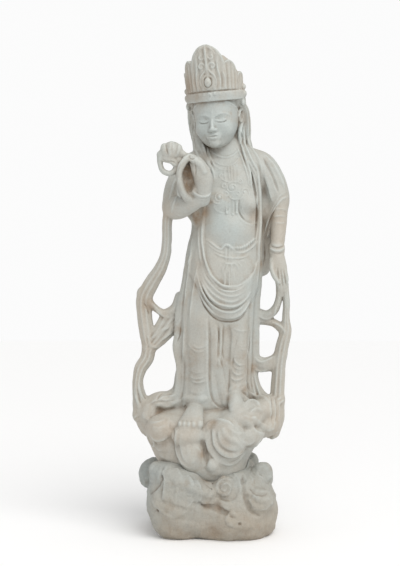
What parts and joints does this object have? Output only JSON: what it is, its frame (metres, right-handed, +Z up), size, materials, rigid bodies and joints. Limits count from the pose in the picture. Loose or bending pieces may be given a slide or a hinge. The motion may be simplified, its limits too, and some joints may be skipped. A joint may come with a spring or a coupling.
{
  "type": "standing guanyin figure on a cloud plinth",
  "caption": "Carved marble bodhisattva standing on a swirling cloud mount with pierced scarves at both sides, resting in the seat of a separate cloud plinth.",
  "frame": {"origin": "on the ground, under the middle of the whole part's box", "axes": "+Z up, the figure looks along -Y, +X to the right of someone who faces the figure"},
  "size_m": [0.419, 0.3248, 1.2602],
  "materials": {
    "marble": "pale grey-white marble, rubbed smooth, with warm dirt in the recesses",
    "worn_marble": "the same marble, weathered to a matt warm grey, with dirt and small pits"
  },
  "bodies": {
    "root": {"figure": "marble", "plinth": "worn_marble"}
  },
  "joints": []
}
